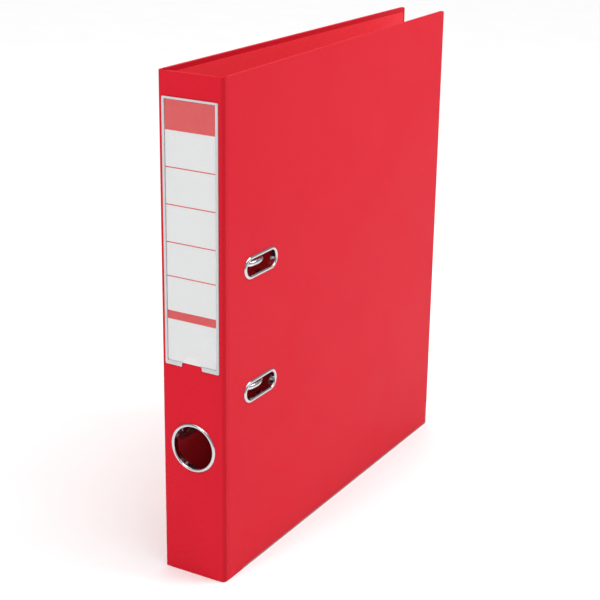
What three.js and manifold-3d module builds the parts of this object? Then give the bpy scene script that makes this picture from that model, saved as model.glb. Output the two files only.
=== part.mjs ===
// A4 lever arch file, standing upright on its lower edge: board covers and spine joined by
// film folds, with the lever arch mechanism riveted inside the back cover.
// Millimetres. +Z up, the spine faces -X, the front cover faces -Y, the fore edge is at +X.
import * as THREE from "three";
import { mergeVertices } from "three/addons/utils/BufferGeometryUtils.js";
import Module from "manifold-3d";

const wasm = await Module();
wasm.setup();

// Overall sizes.
const HEIGHT = 318;
const DEPTH = 286; // spine's outer face to the fore edge
const WIDTH = 45; // outer face to outer face, at the spine
const LEAN_IN = 12; // how far the back cover leans towards the front one at the fore edge

// Boards, linings and folds.
const BOARD_T = 2.3;
const LINING_T = 0.3;
const LINING_INSET = 3; // lining's edge to the board's edge
const SEAT = 0.1; // gap between pieces that rest on each other
const FOLD_R = 2.6; // outer radius of the fold, and of the circle the board edges swing on
const FOLD_FLAT = 2.9; // flat film between that radius and the board's edge
const FILM_T = 1.2;
const FOLD_LIFT = 0.1; // fold film's ends to the boards' ends
const CORNER_R = 1.2;

// Metal strips along the covers' lower edges, turned up at the fore edge.
const STRIP_T = 1;
const STRIP_START = 20.6; // spine's outer face to the strip's end
const STRIP_UP = 17.4;

// Holes for the arches: two slots, the standard hole spacing apart, about mid height.
const HOLE_SPACING = 80;
const SLOT_X = 41; // spine's outer face to the slots' middle
const SLOT_L = 33;
const SLOT_W = 10;
const RIM_T = 0.7; // wall of an eyelet's sleeve
const SLOT_RIM_W = 2.2; // how far the outer rim reaches past the sleeve's inner wall
const SLOT_BACK_W = 1.9; // the same for the washer inside
const RIM_H = 0.9;
const WASHER_H = 0.6;
const HOLE_GAP = 0.3;

// Finger ring in the spine.
const RING_Z = 87.2;
const RING_SIDE = 2.2; // board left between the ring's hole and the spine board's side edges
const RING_RIM_W = 2.2;
const RING_BACK_W = 1.9;

// Label pocket and card on the spine.
const POCKET_SIDE = 3.4; // pocket's edge to the spine's edge
const POCKET_TOP = 14.6; // pocket's edge to the spine's upper edge
const POCKET_ABOVE_RING = 36.3;
const POCKET_FILM_T = 0.25;
const WELD_SIDE = 1.6;
const WELD_TOP = 1.2;
const CARD_T = 0.3;
const CARD_GAP = 0.15;
const CARD_FOOT = 2.6; // card's lower edge to the pocket's lower edge
const THUMB_R = 7.3;

// Mechanism, measured from the back cover: across it from the spine, and up from its outer face.
const ARCH_R = 14.1;
const WIRE_R = 2;
const CROWN_DEPTH = 3.5; // front cover's outer face to the middle of the arch wire's crown
const POST_GAP = 0.4; // arch end to post end
const POST_R = 2.4;
const POST_TIP_R = 1.5;
const POST_TIP_L = 2.5;
const ARCH_TIP_RISE = 1.5; // arch's straight end below the half circle
const BASE_T = 1.2;
const BASE_L = 152;
const BASE_SIDE = 8; // plate's edge to the posts' axis
const BASE_NEAR = 12; // plate's edge to the spine's outer face
const RIB_H = 1.2;
const RIB_W = 6;
const RIB_END = 14; // rib's end to the plate's end
const SHAFT_R = 2.5;
const SHAFT_LIFT = 6.2; // crossbar's axis above the back cover's outer face, past the base
const SHAFT_L = 108;
const LUG_T = 1.6;
const LUG_HALF = 4.7;
const RUN_GAP = 0.3; // running gap round a shaft or a pin
const TAIL_L = 12.5;
const TAIL_T = 1.4;
const TAIL_W = 6;
const TAIL_GAP = 1.4; // tail to the lever's ears
const TAIL_TURN = 40; // the tail's slope above the base, in degrees

// Lever, its pin and its roller.
const PIVOT_BELOW = 28; // lever's pin below the middle of the file
const PIVOT_LIFT = 14.4;
const CHEEK_T = 1.5;
const LEVER_W = 9;
const LEVER_S = 18.6; // middle of the lever, from the spine's outer face
const EAR_T = 1.6;
const EAR_GAP = 0.5;
const EAR_HALF = 3.1;
const PIN_R = 1.8;
const CRANK_R = 6.4;
const ROLLER_R = 3;
const ROLLER_PIN_R = 1.2;
const BOSS_R = 3.4; // cheek round the pin
const ARM_T = 2;
const ARM_L = 44;
const LOOP_R = 8.4; // finger loop's outer radius
const LOOP_BORE_R = 6.4;

// Compressor bar on the posts.
const BAR_T = 1.4;
const BAR_W = 13;
const BAR_END = 14; // bar's end past the posts' axis
const BAR_LIFT = 7; // bar's lower face above the back cover's outer face
const GLIDE_R = 4.6;
const GLIDE_H = 3.4;

// Rivets.
const RIVET_HEAD_R = 4.2;
const RIVET_HEAD_H = 1;
const RIVET_R = 1.6;
const RIVET_END = 7; // rivet's axis to the base plate's end
const RIVET_SIDE = 6;

const LEAN = Math.asin(LEAN_IN / DEPTH);
const BOARD_EDGE = FOLD_R + FOLD_FLAT;
const RING_BORE_R = WIDTH / 2 - BOARD_EDGE - RING_SIDE - RIM_T - HOLE_GAP;
const MID_Z = HEIGHT / 2;
const SLOT_Z = [MID_Z - HOLE_SPACING / 2, MID_Z + HOLE_SPACING / 2];
const BASE_FLOOR = BOARD_T + LINING_T + 3 * SEAT; // base plate's lower face
const BASE_TOP = BASE_FLOOR + BASE_T;

const material = (color, roughness, metalness = 0) =>
  new THREE.MeshStandardMaterial({ color, roughness, metalness });
const RED_FILM = material(0xd8242f, 0.55);
const RED_LINING = material(0xcf2832, 0.7);
const CHROME = material(0xd9dbde, 0.15, 1);
const STEEL = material(0xb9bcc1, 0.35, 1);
const ZINC = material(0xa9adb3, 0.45, 1);
const CLEAR_FILM = material(0xdfe7ee, 0.25);
const CARD = material(0xe4e5e8, 0.8);
const BLACK_PLASTIC = material(0x1d1e20, 0.5);

// Solids.

function toSolid(geometry) {
  const bare = geometry.index ? geometry.toNonIndexed() : geometry.clone();
  bare.deleteAttribute("normal");
  bare.deleteAttribute("uv");
  const merged = mergeVertices(bare, 1e-4);
  return new wasm.Manifold(
    new wasm.Mesh({
      numProp: 3,
      vertProperties: merged.attributes.position.array,
      triVerts: new Uint32Array(merged.index.array),
    }),
  );
}

function toGeometry(solid) {
  const { numProp, vertProperties, triVerts } = solid.getMesh();
  const position = new Float32Array((vertProperties.length / numProp) * 3);
  for (let i = 0; i < position.length / 3; i++)
    for (let k = 0; k < 3; k++) position[3 * i + k] = vertProperties[numProp * i + k];
  const geometry = new THREE.BufferGeometry();
  geometry.setAttribute("position", new THREE.BufferAttribute(position, 3));
  geometry.setIndex(new THREE.BufferAttribute(new Uint32Array(triVerts), 1));
  geometry.computeVertexNormals();
  return geometry;
}

function join(...geometries) {
  return toGeometry(geometries.map(toSolid).reduce((a, b) => a.add(b)));
}

function cut(geometry, ...tools) {
  return toGeometry(tools.map(toSolid).reduce((a, b) => a.subtract(b), toSolid(geometry)));
}

const box = (x0, x1, y0, y1, z0, z1) =>
  new THREE.BoxGeometry(x1 - x0, y1 - y0, z1 - z0).translate(
    (x0 + x1) / 2,
    (y0 + y1) / 2,
    (z0 + z1) / 2,
  );

// Extrusions along one axis. The shape is drawn in (y, z), (x, z) or (x, y).
const TURNS = {
  x: new THREE.Matrix4().makeBasis(
    new THREE.Vector3(0, 1, 0),
    new THREE.Vector3(0, 0, 1),
    new THREE.Vector3(1, 0, 0),
  ),
  y: new THREE.Matrix4().makeRotationX(Math.PI / 2),
  z: new THREE.Matrix4(),
};

function extrude(shape, axis, from, to, round = 0) {
  const geometry = new THREE.ExtrudeGeometry(shape, {
    depth: to - from - 2 * round,
    bevelEnabled: round > 0,
    bevelThickness: round,
    bevelSize: round,
    bevelOffset: -round,
    bevelSegments: 2,
  });
  geometry.translate(0, 0, round).applyMatrix4(TURNS[axis]);
  if (axis === "x") return geometry.translate(from, 0, 0);
  if (axis === "y") return geometry.translate(0, to, 0);
  return geometry.translate(0, 0, from);
}

// Lathed piece round an axis through (a, b) of the other two coordinates.
// The profile's points are [radius, place along the axis].
function turned(profile, axis, a, b, segments = 40) {
  const points = profile.map(([r, h]) => new THREE.Vector2(r, h));
  const geometry = new THREE.LatheGeometry(points, segments);
  if (axis === "x") return geometry.rotateZ(-Math.PI / 2).translate(0, a, b);
  if (axis === "y") return geometry.translate(a, 0, b);
  return geometry.rotateX(Math.PI / 2).translate(a, b, 0);
}

const rod = (radius, axis, from, to, a, b, segments = 20) =>
  turned([[0, from], [radius, from], [radius, to], [0, to]], axis, a, b, segments);

// Chords of an arc, as points; angles in degrees.
function arc(cx, cy, r, from, to, steps) {
  const points = [];
  for (let i = 0; i <= steps; i++) {
    const a = THREE.MathUtils.degToRad(from + ((to - from) * i) / steps);
    points.push(new THREE.Vector2(cx + r * Math.cos(a), cy + r * Math.sin(a)));
  }
  return points;
}

const at = (x, y) => new THREE.Vector2(x, y);

function rectangle(x0, x1, y0, y1, r, steps = 2) {
  return new THREE.Shape([
    ...arc(x1 - r, y0 + r, r, -90, 0, steps),
    ...arc(x1 - r, y1 - r, r, 0, 90, steps),
    ...arc(x0 + r, y1 - r, r, 90, 180, steps),
    ...arc(x0 + r, y0 + r, r, 180, 270, steps),
  ]);
}

// A slot's outline with round ends, grown by a margin.
function slot(cx, cz, margin) {
  const r = SLOT_W / 2 + margin;
  const half = SLOT_L / 2 - SLOT_W / 2;
  return new THREE.Shape([
    ...arc(cx + half, cz, r, -90, 90, 10),
    ...arc(cx - half, cz, r, 90, 270, 10),
  ]);
}

const disc = (cx, cy, r, steps = 24) =>
  new THREE.Shape(arc(cx, cy, r, 0, 360, steps).slice(0, -1));

const parts = new THREE.Group();
const backGroup = new THREE.Group();
backGroup.position.set(0, WIDTH, 0);
backGroup.rotation.z = -LEAN;
parts.add(backGroup);

function put(name, geometry, look, group = parts) {
  const mesh = new THREE.Mesh(geometry, look);
  mesh.name = name;
  group.add(mesh);
}

// Covers. The outline is drawn in (x, z): its lower edge steps up over the metal strip, and its
// fore edge steps back behind the strip's turned-up end.
function coverOutline() {
  const step = STRIP_T + SEAT;
  return new THREE.Shape([
    at(BOARD_EDGE, 0),
    at(STRIP_START - SEAT, 0),
    at(STRIP_START - SEAT, step),
    at(DEPTH - step, step),
    at(DEPTH - step, STRIP_UP + SEAT),
    at(DEPTH, STRIP_UP + SEAT),
    ...arc(DEPTH - CORNER_R, HEIGHT - CORNER_R, CORNER_R, 0, 90, 3),
    at(BOARD_EDGE, HEIGHT),
  ]);
}

function edgeStripOutline() {
  return new THREE.Shape([
    at(STRIP_START, 0),
    ...arc(DEPTH - CORNER_R, CORNER_R, CORNER_R, -90, 0, 3),
    at(DEPTH, STRIP_UP),
    at(DEPTH - STRIP_T, STRIP_UP),
    at(DEPTH - STRIP_T, STRIP_T),
    at(STRIP_START, STRIP_T),
  ]);
}

const liningOutline = () =>
  rectangle(
    BOARD_EDGE + LINING_INSET,
    DEPTH - LINING_INSET,
    LINING_INSET,
    HEIGHT - LINING_INSET,
    CORNER_R,
  );

// Front cover, with a metal eyelet in each slot.
const sleeveOuter = RIM_T;
const boardHole = RIM_T + HOLE_GAP;
const frontInner = BOARD_T + SEAT;
const frontLiningInner = frontInner + LINING_T;
const frontOutline = coverOutline();
const frontLiningOutline = liningOutline();
for (const z of SLOT_Z) {
  frontOutline.holes.push(slot(SLOT_X, z, boardHole));
  frontLiningOutline.holes.push(slot(SLOT_X, z, boardHole));
}
put("front_cover_board", extrude(frontOutline, "y", 0, BOARD_T), RED_FILM);
put("front_cover_lining", extrude(frontLiningOutline, "y", frontInner, frontLiningInner), RED_LINING);
put("front_edge_strip", extrude(edgeStripOutline(), "y", 0, BOARD_T), STEEL);

const washerFloor = frontLiningInner + SEAT;
SLOT_Z.forEach((z, i) => {
  const place = i ? "upper" : "lower";
  const rim = slot(SLOT_X, z, SLOT_RIM_W);
  rim.holes.push(slot(SLOT_X, z, 0));
  const sleeve = slot(SLOT_X, z, sleeveOuter);
  sleeve.holes.push(slot(SLOT_X, z, 0));
  put(
    `slot_eyelet_${place}`,
    join(
      extrude(rim, "y", -SEAT - RIM_H, -SEAT, RIM_H * 0.35),
      extrude(sleeve, "y", -SEAT - RIM_H / 2, washerFloor + WASHER_H),
    ),
    CHROME,
  );
  const washer = slot(SLOT_X, z, SLOT_BACK_W + RIM_T);
  washer.holes.push(slot(SLOT_X, z, RIM_T + SEAT));
  put(`slot_washer_${place}`, extrude(washer, "y", washerFloor, washerFloor + WASHER_H), STEEL);
});

// Spine, with its finger ring.
const spineMid = WIDTH / 2;
const spineInner = BOARD_T + SEAT;
const spineLiningInner = spineInner + LINING_T;
const ringWasherFloor = spineLiningInner + SEAT;
const ringHoleR = RING_BORE_R + boardHole;
const spineOutline = rectangle(BOARD_EDGE, WIDTH - BOARD_EDGE, 0, HEIGHT, CORNER_R / 4);
spineOutline.holes.push(disc(spineMid, RING_Z, ringHoleR, 40));
put("spine_board", extrude(spineOutline, "x", 0, BOARD_T), RED_FILM);
const spineLiningOutline = rectangle(
  BOARD_EDGE + 1,
  WIDTH - BOARD_EDGE - 1,
  LINING_INSET,
  HEIGHT - LINING_INSET,
  CORNER_R,
);
spineLiningOutline.holes.push(disc(spineMid, RING_Z, ringHoleR, 40));
put("spine_lining", extrude(spineLiningOutline, "x", spineInner, spineLiningInner), RED_LINING);
const ringTop = -SEAT - RIM_H;
const ringEnd = ringWasherFloor + WASHER_H;
const sleeveR = RING_BORE_R + RIM_T;
const rimR = RING_BORE_R + RING_RIM_W;
put(
  "finger_ring",
  turned(
    [
      [RING_BORE_R, ringEnd],
      [RING_BORE_R, ringTop * 0.4],
      [RING_BORE_R + 0.5, ringTop * 0.9],
      [rimR - 1.1, ringTop],
      [rimR - 0.5, ringTop * 0.9],
      [rimR, ringTop * 0.6],
      [rimR, -SEAT],
      [sleeveR, -SEAT],
      [sleeveR, ringEnd],
      [RING_BORE_R, ringEnd],
    ],
    "x",
    spineMid,
    RING_Z,
    48,
  ),
  CHROME,
);
const ringWasherBore = sleeveR + SEAT;
const ringWasherR = sleeveR + RING_BACK_W;
put(
  "finger_ring_washer",
  turned(
    [
      [ringWasherBore, ringWasherFloor],
      [ringWasherR, ringWasherFloor],
      [ringWasherR, ringEnd],
      [ringWasherBore, ringEnd],
      [ringWasherBore, ringWasherFloor],
    ],
    "x",
    spineMid,
    RING_Z,
    48,
  ),
  STEEL,
);

// Label pocket: a clear film welded down on three sides, open below, where a thumb cut lets
// the card be drawn out.
const pocketY0 = POCKET_SIDE;
const pocketY1 = WIDTH - POCKET_SIDE;
const pocketZ0 = RING_Z + rimR + POCKET_ABOVE_RING;
const pocketZ1 = HEIGHT - POCKET_TOP;
const cardX1 = -SEAT;
const cardX0 = cardX1 - CARD_T;
const filmX1 = cardX0 - CARD_GAP;
const filmX0 = filmX1 - POCKET_FILM_T;
put(
  "label_pocket",
  cut(
    extrude(rectangle(pocketY0, pocketY1, pocketZ0, pocketZ1, 0.6), "x", filmX0, cardX1),
    box(filmX1, 1, pocketY0 + WELD_SIDE, pocketY1 - WELD_SIDE, pocketZ0 - 1, pocketZ1 - WELD_TOP),
    extrude(disc(spineMid, pocketZ0, THUMB_R, 32), "x", filmX0 - 1, 1),
  ),
  CLEAR_FILM,
);
const cardOutline = rectangle(
  pocketY0 + WELD_SIDE + 2 * CARD_GAP,
  pocketY1 - WELD_SIDE - 2 * CARD_GAP,
  pocketZ0 + CARD_FOOT,
  pocketZ1 - WELD_TOP - 2 * CARD_GAP,
  0.8,
);
put("label_card", extrude(cardOutline, "x", cardX0, cardX1), CARD);

// Folds: bands of film that wrap the two corners between the boards' edges.
function foldBand() {
  const end = BOARD_EDGE - 1.5 * SEAT;
  return new THREE.Shape([
    at(0, end),
    ...arc(FOLD_R, FOLD_R, FOLD_R, 180, 270, 8),
    at(end, 0),
    at(end, FILM_T),
    ...arc(FOLD_R, FOLD_R, FOLD_R - FILM_T, 270, 180, 8),
    at(FILM_T, end),
  ]);
}
put("front_fold", extrude(foldBand(), "z", FOLD_LIFT, HEIGHT - FOLD_LIFT), RED_FILM);
put(
  "back_fold",
  extrude(foldBand(), "z", FOLD_LIFT - HEIGHT, -FOLD_LIFT).rotateX(Math.PI).translate(0, WIDTH, 0),
  RED_FILM,
);

// Back cover. Its pieces are drawn with the cover straight: x runs across it from the spine,
// y is minus the height above its outer face, and the group leans them all together.
const archX = SLOT_X * Math.cos(LEAN) + (WIDTH - CROWN_DEPTH) * Math.sin(LEAN);
const crownLift = (WIDTH - CROWN_DEPTH) * Math.cos(LEAN) - SLOT_X * Math.sin(LEAN);
const legX = archX - ARCH_R;
const postX = archX + ARCH_R;
const archCentreLift = crownLift - ARCH_R;
const tipLift = archCentreLift - ARCH_TIP_RISE;
const postTop = tipLift - POST_GAP;
const baseX0 = BASE_NEAR;
const baseX1 = postX + BASE_SIDE;
const baseZ0 = MID_Z - BASE_L / 2;
const baseZ1 = MID_Z + BASE_L / 2;
const rivets = [];
for (const x of [baseX0 + RIVET_SIDE, baseX1 - RIVET_SIDE])
  for (const z of [baseZ0 + RIVET_END, baseZ1 - RIVET_END]) rivets.push([x, z]);

const backOutline = coverOutline();
const backLiningOutline = liningOutline();
for (const [x, z] of rivets) {
  backOutline.holes.push(disc(x, z, RIVET_R + HOLE_GAP));
  backLiningOutline.holes.push(disc(x, z, RIVET_R + HOLE_GAP));
}
const backInner = BOARD_T + SEAT;
put("back_cover_board", extrude(backOutline, "y", -BOARD_T, 0), RED_FILM, backGroup);
put(
  "back_cover_lining",
  extrude(backLiningOutline, "y", -backInner - LINING_T, -backInner),
  RED_LINING,
  backGroup,
);
put("back_edge_strip", extrude(edgeStripOutline(), "y", -BOARD_T, 0), STEEL, backGroup);

// Base plate: pressed ribs, two lugs for the crossbar and two ears for the lever's pin.
const pivotZ = MID_Z - PIVOT_BELOW;
const earInner = LEVER_W / 2 + EAR_GAP;
const ears = [LEVER_S - earInner - EAR_T, LEVER_S + earInner];
const shaftLift = SHAFT_LIFT + BASE_TOP - BASE_T;
const lugZ = [MID_Z - SHAFT_L / 2 + 3, MID_Z + SHAFT_L / 2 - 3 - LUG_T];
const plateOutline = rectangle(baseX0, baseX1, baseZ0, baseZ1, 4, 4);
for (const [x, z] of rivets) plateOutline.holes.push(disc(x, z, RIVET_R + HOLE_GAP));
const sink = 0.3; // how far a joined rib, lug or ear reaches into the plate

function earPlate(x) {
  const outline = new THREE.Shape([
    at(-BASE_TOP + sink, pivotZ - EAR_HALF),
    at(-BASE_TOP + sink, pivotZ + EAR_HALF),
    ...arc(-pivotLift, pivotZ, EAR_HALF, 90, 270, 10),
  ]);
  outline.holes.push(disc(-pivotLift, pivotZ, PIN_R + RUN_GAP, 20));
  return extrude(outline, "x", x, x + EAR_T);
}

function lugPlate(z) {
  const outline = new THREE.Shape([
    at(legX - LUG_HALF, -BASE_TOP + sink),
    ...arc(legX, -shaftLift, LUG_HALF, 180, 360, 12),
    at(legX + LUG_HALF, -BASE_TOP + sink),
  ]);
  outline.holes.push(disc(legX, -shaftLift, SHAFT_R + RUN_GAP, 20));
  return extrude(outline, "z", z, z + LUG_T);
}

const pivotLift = PIVOT_LIFT + BASE_TOP - BASE_T;
const rib = extrude(
  rectangle(archX - RIB_W / 2, archX + RIB_W / 2, baseZ0 + RIB_END, baseZ1 - RIB_END, RIB_W * 0.45, 4),
  "y",
  -BASE_TOP - RIB_H,
  -BASE_TOP + sink,
  0.4,
);
put(
  "mechanism_base_plate",
  join(
    extrude(plateOutline, "y", -BASE_TOP, -BASE_FLOOR),
    rib,
    ...ears.map(earPlate),
    ...lugZ.map(lugPlate),
  ),
  ZINC,
  backGroup,
);

// Rivets through the back cover and the base plate, with a low dome at each end.
rivets.forEach(([x, z], i) => {
  const dome = (lift, up) => [
    [RIVET_R, lift],
    [RIVET_HEAD_R, lift],
    [RIVET_HEAD_R * 0.94, lift + up * 0.35],
    [RIVET_HEAD_R * 0.66, lift + up * 0.8],
    [0, lift + up],
  ];
  const outer = dome(SEAT, RIVET_HEAD_H).reverse();
  const inner = dome(-BASE_TOP - SEAT, -RIVET_HEAD_H);
  put(
    `rivet_${i + 1}`,
    turned([...inner.reverse(), ...outer.reverse()], "y", x, z, 20),
    STEEL,
    backGroup,
  );
});

// Posts, riveted to the base plate, with narrow tips that the arches close on.
SLOT_Z.forEach((z, i) => {
  put(
    `post_${i ? "upper" : "lower"}`,
    turned(
      [
        [0, -postTop],
        [POST_TIP_R * 0.6, -postTop],
        [POST_TIP_R, -postTop + 0.8],
        [POST_TIP_R, -postTop + POST_TIP_L],
        [POST_R, -postTop + POST_TIP_L + 1],
        [POST_R, -BASE_TOP - 1.4],
        [POST_R + 1.2, -BASE_TOP - 1.4],
        [POST_R + 1.2, -BASE_TOP - HOLE_GAP],
        [0, -BASE_TOP - HOLE_GAP],
      ],
      "y",
      postX,
      z,
      20,
    ),
    CHROME,
    backGroup,
  );
});

// Arches: a straight leg from the crossbar, a half circle and a short straight end.
class ArchLine extends THREE.Curve {
  constructor(z, footLift) {
    super();
    this.z = z;
    this.footLift = footLift;
  }
  getPoint(t, target = new THREE.Vector3()) {
    const leg = archCentreLift - this.footLift;
    const arc = Math.PI * ARCH_R;
    const along = t * (leg + arc + ARCH_TIP_RISE);
    if (along <= leg) return target.set(legX, -this.footLift - along, this.z);
    if (along >= leg + arc)
      return target.set(postX, -archCentreLift + (along - leg - arc), this.z);
    const turn = Math.PI - (along - leg) / ARCH_R;
    return target.set(
      archX + ARCH_R * Math.cos(turn),
      -archCentreLift - ARCH_R * Math.sin(turn),
      this.z,
    );
  }
}

const footLift = shaftLift + SHAFT_R + HOLE_GAP;
SLOT_Z.forEach((z, i) => {
  put(
    `arch_${i ? "upper" : "lower"}`,
    new THREE.ExtrudeGeometry(disc(0, 0, WIRE_R, 12), {
      steps: 32,
      bevelEnabled: false,
      extrudePath: new ArchLine(z, footLift),
    }),
    CHROME,
    backGroup,
  );
});

// Crossbar that joins the arches, with the tail that the lever's roller presses down.
const tailTurn = THREE.MathUtils.degToRad(TAIL_TURN);
const tailZ1 = pivotZ - EAR_HALF - TAIL_GAP;
const tail = box(-TAIL_L, 0, -TAIL_T / 2, TAIL_T / 2, tailZ1 - TAIL_W, tailZ1)
  .rotateZ(tailTurn)
  .translate(legX, -shaftLift, 0);
const collars = SLOT_Z.map((z) =>
  rod(SHAFT_R + 1.1, "z", z - WIRE_R - 1.4, z + WIRE_R + 1.4, legX, -shaftLift, 20),
);
const footHoles = SLOT_Z.map((z) =>
  rod(WIRE_R + HOLE_GAP, "y", -footLift - 4, -footLift + HOLE_GAP, legX, z, 16),
);
put(
  "crossbar",
  cut(
    join(
      rod(SHAFT_R, "z", MID_Z - SHAFT_L / 2, MID_Z + SHAFT_L / 2, legX, -shaftLift, 20),
      tail,
      ...collars,
    ),
    ...footHoles,
  ),
  STEEL,
  backGroup,
);

// Lever: two cheeks on the pin, a flat arm and a finger loop, with a roller on its crank.
const crankTurn = Math.PI / 4;
const rollerZ = pivotZ - CRANK_R * Math.sin(crankTurn);
const rollerLift = pivotLift + CRANK_R * Math.cos(crankTurn);
const armLift = pivotLift + 1;
const loopZ = pivotZ + ARM_L + LOOP_R;
const loopLift = armLift + 2;

function cheek(x) {
  const outline = new THREE.Shape([
    at(-armLift - 1, pivotZ + 14),
    ...arc(-rollerLift, rollerZ, BOSS_R * 0.7, -180, -45, 8),
    ...arc(-pivotLift, pivotZ, BOSS_R, -45, 0, 4),
    at(-pivotLift + BOSS_R, pivotZ + 9),
  ]);
  outline.holes.push(disc(-pivotLift, pivotZ, PIN_R + RUN_GAP, 20));
  outline.holes.push(disc(-rollerLift, rollerZ, ROLLER_PIN_R + RUN_GAP, 14));
  return extrude(outline, "x", x, x + CHEEK_T);
}

const leverX0 = LEVER_S - LEVER_W / 2;
const leverX1 = LEVER_S + LEVER_W / 2;
const loopShape = disc(-loopLift, loopZ, LOOP_R, 28);
loopShape.holes.push(disc(-loopLift, loopZ, LOOP_BORE_R, 28));
const armEnd = loopZ - LOOP_R * Math.cos(Math.asin((loopLift - armLift) / LOOP_R)) + 0.6;
put(
  "lever",
  join(
    cheek(leverX0),
    cheek(leverX1 - CHEEK_T),
    box(leverX0, leverX1, -armLift - ARM_T / 2, -armLift + ARM_T / 2, pivotZ + 8, armEnd),
    extrude(loopShape, "x", leverX0, leverX1),
  ),
  CHROME,
  backGroup,
);
const pinX0 = ears[0] - 0.6;
const pinX1 = ears[1] + EAR_T + 0.6;
put(
  "lever_pin",
  turned(
    [
      [0, pinX0 - 0.8],
      [PIN_R + 0.9, pinX0 - 0.8],
      [PIN_R + 0.9, pinX0 + 0.3],
      [PIN_R, pinX0 + 0.3],
      [PIN_R, pinX1 - 0.3],
      [PIN_R + 0.9, pinX1 - 0.3],
      [PIN_R + 0.9, pinX1 + 0.8],
      [0, pinX1 + 0.8],
    ],
    "x",
    -pivotLift,
    pivotZ,
    20,
  ),
  STEEL,
  backGroup,
);
put(
  "roller_pin",
  rod(ROLLER_PIN_R, "x", leverX0 - 0.3, leverX1 + 0.3, -rollerLift, rollerZ, 16),
  STEEL,
  backGroup,
);
const rollerX0 = leverX0 + CHEEK_T + RUN_GAP;
const rollerX1 = leverX1 - CHEEK_T - RUN_GAP;
const rollerBore = ROLLER_PIN_R + RUN_GAP;
put(
  "lever_roller",
  turned(
    [
      [rollerBore, rollerX0],
      [ROLLER_R, rollerX0],
      [ROLLER_R, rollerX1],
      [rollerBore, rollerX1],
      [rollerBore, rollerX0],
    ],
    "x",
    -rollerLift,
    rollerZ,
    24,
  ),
  ZINC,
  backGroup,
);

// Compressor bar: a thin bar held on the posts by two plastic glides.
const barLift = BAR_LIFT;
const barOutline = rectangle(
  postX - BAR_W / 2,
  postX + BAR_W / 2,
  SLOT_Z[0] - BAR_END,
  SLOT_Z[1] + BAR_END,
  5,
  4,
);
for (const z of SLOT_Z) barOutline.holes.push(disc(postX, z, POST_R + 1.4));
put(
  "compressor_bar",
  extrude(barOutline, "y", -barLift - BAR_T, -barLift),
  STEEL,
  backGroup,
);
SLOT_Z.forEach((z, i) => {
  const floor = barLift + BAR_T + HOLE_GAP;
  const outline = disc(postX, z, GLIDE_R);
  outline.holes.push(disc(postX, z, POST_R + 0.5));
  put(
    `compressor_glide_${i ? "upper" : "lower"}`,
    extrude(outline, "y", -floor - GLIDE_H, -floor, 0.4),
    BLACK_PLASTIC,
    backGroup,
  );
});

// The part's origin is the middle of its bounding box, at its lowest point.
const bounds = new THREE.Box3().setFromObject(parts, true);
const middle = bounds.getCenter(new THREE.Vector3());
parts.position.set(-middle.x, -middle.y, -bounds.min.z);

const file = new THREE.Group();
file.name = "lever_arch_file";
file.add(parts);

export default file;
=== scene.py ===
"""Lever arch file: film-covered boards on film folds, a label pocket, metal eyelets and finger
ring, and a lever arch mechanism inside the back cover. Drawn in millimetres from the corner of
the spine's and front cover's outer faces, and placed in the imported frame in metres."""

import math

import bmesh
import bpy
from bpy.props import FloatProperty, FloatVectorProperty, PointerProperty
from bpy.types import Operator, Panel, PropertyGroup
from mathutils import Matrix, Vector


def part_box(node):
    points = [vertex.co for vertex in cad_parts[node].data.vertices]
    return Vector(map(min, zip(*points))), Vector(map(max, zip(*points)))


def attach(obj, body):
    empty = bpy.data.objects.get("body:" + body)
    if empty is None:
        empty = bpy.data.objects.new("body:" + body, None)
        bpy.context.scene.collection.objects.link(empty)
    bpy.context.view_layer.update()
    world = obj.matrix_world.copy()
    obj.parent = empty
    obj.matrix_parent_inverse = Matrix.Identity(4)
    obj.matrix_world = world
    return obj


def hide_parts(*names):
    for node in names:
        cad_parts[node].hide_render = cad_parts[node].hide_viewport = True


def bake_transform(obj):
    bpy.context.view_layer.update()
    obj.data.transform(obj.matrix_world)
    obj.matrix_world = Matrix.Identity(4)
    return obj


bl_info = {
    "name": "Lever arch file",
    "version": (1, 0, 0),
    "blender": (4, 5, 0),
    "location": "3D View > Sidebar > Lever arch file",
    "description": "Models a lever arch file round its packed frame",
    "category": "Object",
}

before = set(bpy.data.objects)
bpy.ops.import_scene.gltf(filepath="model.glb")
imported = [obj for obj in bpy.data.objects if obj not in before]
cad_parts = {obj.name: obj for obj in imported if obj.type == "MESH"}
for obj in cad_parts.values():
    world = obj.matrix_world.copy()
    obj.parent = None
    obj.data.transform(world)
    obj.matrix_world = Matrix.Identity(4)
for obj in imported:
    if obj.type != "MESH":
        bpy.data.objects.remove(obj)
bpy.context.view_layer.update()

MM = 0.001


def box_mm(node):
    """A node's lowest and highest corners, in millimetres from the file's corner."""
    low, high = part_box(node)
    return (Vector(low) - CORNER) / MM, (Vector(high) - CORNER) / MM


# The corner where the spine's outer face meets the front cover's, on the floor.
CORNER = Vector((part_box("spine_board")[0][0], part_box("front_cover_board")[0][1], 0))

# Overall sizes, in millimetres.
HEIGHT = box_mm("spine_board")[1].z
DEPTH = box_mm("front_cover_board")[1].x
BOARD_EDGE = box_mm("spine_board")[0].y
WIDTH = BOARD_EDGE + box_mm("spine_board")[1].y
FILM_T = 1.2
BACK_NARROWING = 12
LEAN = math.asin(BACK_NARROWING / DEPTH)
BACK_CORNER = CORNER + Vector((0, WIDTH, 0)) * MM

# Slot eyelets and finger ring: a rolled rim on a sleeve through the board.
RIM_OUT = 2.2
SLEEVE_T = 0.7
SLEEVE_END = box_mm("slot_eyelet_lower")[1].y
WASHER_IN = box_mm("slot_washer_lower")[0].y
EYELET = box_mm("slot_eyelet_lower")[1] - box_mm("slot_eyelet_lower")[0]
SLOT_X = (box_mm("slot_eyelet_lower")[0].x + box_mm("slot_eyelet_lower")[1].x) / 2
SLOT_ENDS = EYELET.z / 2 - RIM_OUT
SLOT_HALF = (EYELET.x - EYELET.z) / 2

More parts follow.
